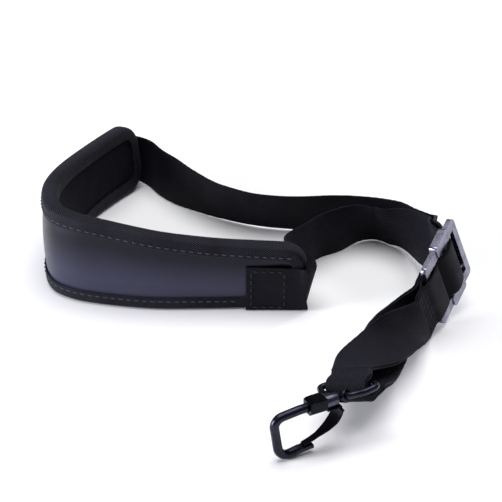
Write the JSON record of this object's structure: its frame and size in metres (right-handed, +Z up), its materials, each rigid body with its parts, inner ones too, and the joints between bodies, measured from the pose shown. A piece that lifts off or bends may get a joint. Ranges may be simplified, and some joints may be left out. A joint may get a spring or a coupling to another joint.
{
  "type": "saxophone neck strap",
  "caption": "Padded neck collar with sewn-on webbing, a sliding adjuster and a swivel hook with a spring gate for carrying a saxophone.",
  "frame": {"origin": "floor level at the middle of the footprint", "axes": "+Z up; the collar opens towards +X, and the hook end comes forward, towards -Y"},
  "size_m": [0.2485, 0.3131, 0.0562],
  "materials": {
    "foam": "closed-cell foam",
    "cover": "smooth semi-gloss",
    "lining": "short soft pile",
    "tape": "twill",
    "thread": "matt",
    "webbing": "ribbed weave, slight sheen",
    "cast": "satin cast",
    "gunmetal": "polished, dark plated",
    "barrel_grey": "satin",
    "black_steel": "gloss black"
  },
  "bodies": {
    "collar": {"foam_core": "foam", "outer_cover": "cover", "inner_lining": "lining", "edge_binding": "tape", "binding_stitches": "thread", "near_neck_strap": "webbing", "far_neck_strap": "webbing", "near_patch_stitches": "thread", "far_patch_stitches": "thread"},
    "slider": {"slider_frame": "cast", "slider_centre_bar": "cast", "sewn_loop": "webbing", "loop_stitches": "thread", "lower_front_run": "webbing", "lower_back_run": "webbing"},
    "strap_end": {"strap_end_fold": "webbing"},
    "ring": {"ring_loop": "gunmetal"},
    "stud": {"swivel_stud": "gunmetal"},
    "hook": {"swivel_barrel": "barrel_grey", "hook_collar": "black_steel", "hook_rod": "gunmetal", "gate_tab": "black_steel", "gate_rivet": "gunmetal"},
    "gate": {"gate_leaf": "black_steel"}
  },
  "joints": [
    {"name": "slider_slide", "type": "slide", "parent": "collar", "child": "slider", "axis": [-0.454, -0.891, 0], "range_m": [-0.03, 0.04], "deforming": ["near_neck_strap", "far_neck_strap"]},
    {"name": "strap_take_up", "type": "slide", "parent": "slider", "child": "strap_end", "axis": [-0.454, -0.891, 0], "range_m": [-0.02, 0.015], "deforming": ["lower_front_run", "lower_back_run"]},
    {"name": "ring_pivot", "type": "hinge", "parent": "strap_end", "child": "ring", "pos_m": [0.0485, -0.1228, 0.0263], "axis": [0.8523, -0.4222, 0.3088], "range_deg": [-60, 30]},
    {"name": "stud_pivot", "type": "hinge", "parent": "ring", "child": "stud", "pos_m": [0.04496, -0.13477, 0.02747], "axis": [0.8523, -0.4222, 0.3088], "range_deg": [-45, 45]},
    {"name": "hook_swivel", "type": "hinge", "parent": "stud", "child": "hook", "pos_m": [0.04496, -0.13477, 0.02747], "axis": [-0.8746, -0.4848, 0], "range_deg": [0, 180]},
    {"name": "gate_open", "type": "hinge", "parent": "hook", "child": "gate", "pos_m": [0.04217, -0.13632, 0.02187], "axis": [-0.4848, 0.8746, 0], "range_deg": [0, 20], "stiffness_Nm_per_rad": 0.02, "springref_deg": -11.46}
  ],
  "couplings": [
    {"joint": "strap_take_up", "follows": "slider_slide", "ratio": -0.5}
  ]
}
